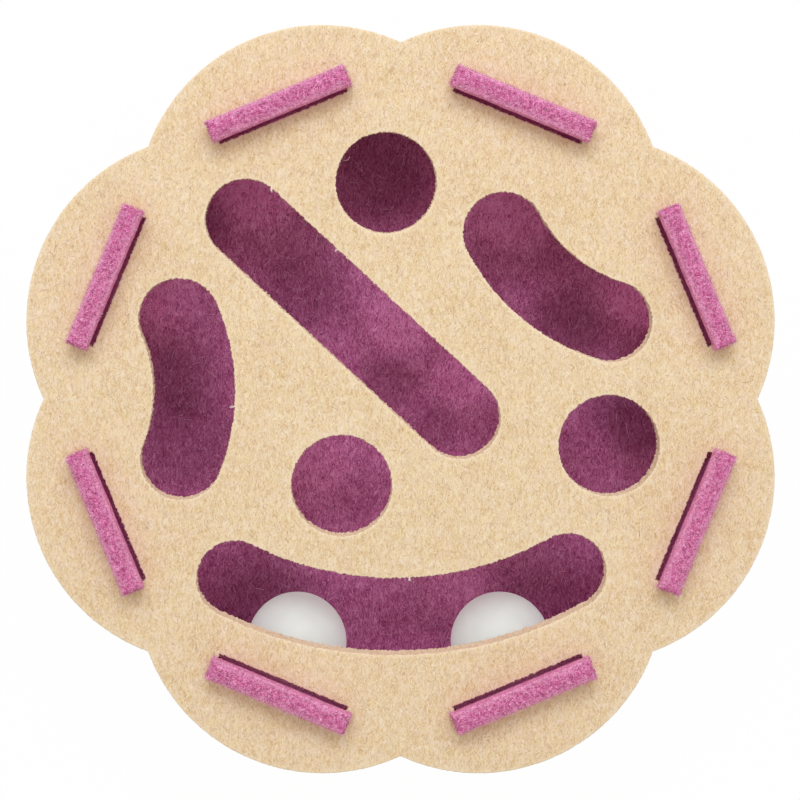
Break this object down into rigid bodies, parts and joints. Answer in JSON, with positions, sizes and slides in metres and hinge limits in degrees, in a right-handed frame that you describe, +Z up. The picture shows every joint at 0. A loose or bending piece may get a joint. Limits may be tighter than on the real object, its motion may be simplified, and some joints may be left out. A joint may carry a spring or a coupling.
{
  "type": "felt cat activity mat",
  "caption": "Low scalloped felt box with paw openings in its lid, a ring of slotted side panels with portholes, and balls that roll inside.",
  "frame": {"origin": "on the floor, under the middle of the mat", "axes": "+Z up through the lid, +Y towards the edge with the upper round opening, +X to the right seen from above"},
  "size_m": [0.288, 0.288, 0.0756],
  "materials": {
    "beige_felt": "matte needled felt",
    "pink_felt": "matte needled felt",
    "white_plastic": "satin"
  },
  "bodies": {
    "box": {"lid": "beige_felt", "base": "pink_felt", "side_panel_1": "pink_felt", "side_panel_2": "pink_felt", "side_panel_3": "pink_felt", "side_panel_4": "pink_felt", "side_panel_5": "pink_felt", "side_panel_6": "pink_felt", "side_panel_7": "pink_felt", "side_panel_8": "pink_felt"},
    "ball_left": {"ball_left": "white_plastic"},
    "ball_right": {"ball_right": "white_plastic"}
  },
  "joints": [
    {"name": "ball_left_roll", "type": "slide", "parent": "box", "child": "ball_left", "axis": [0, 1, 0], "range_m": [0, 0.198]},
    {"name": "ball_right_roll", "type": "slide", "parent": "box", "child": "ball_right", "axis": [0, 1, 0], "range_m": [0, 0.198]}
  ]
}
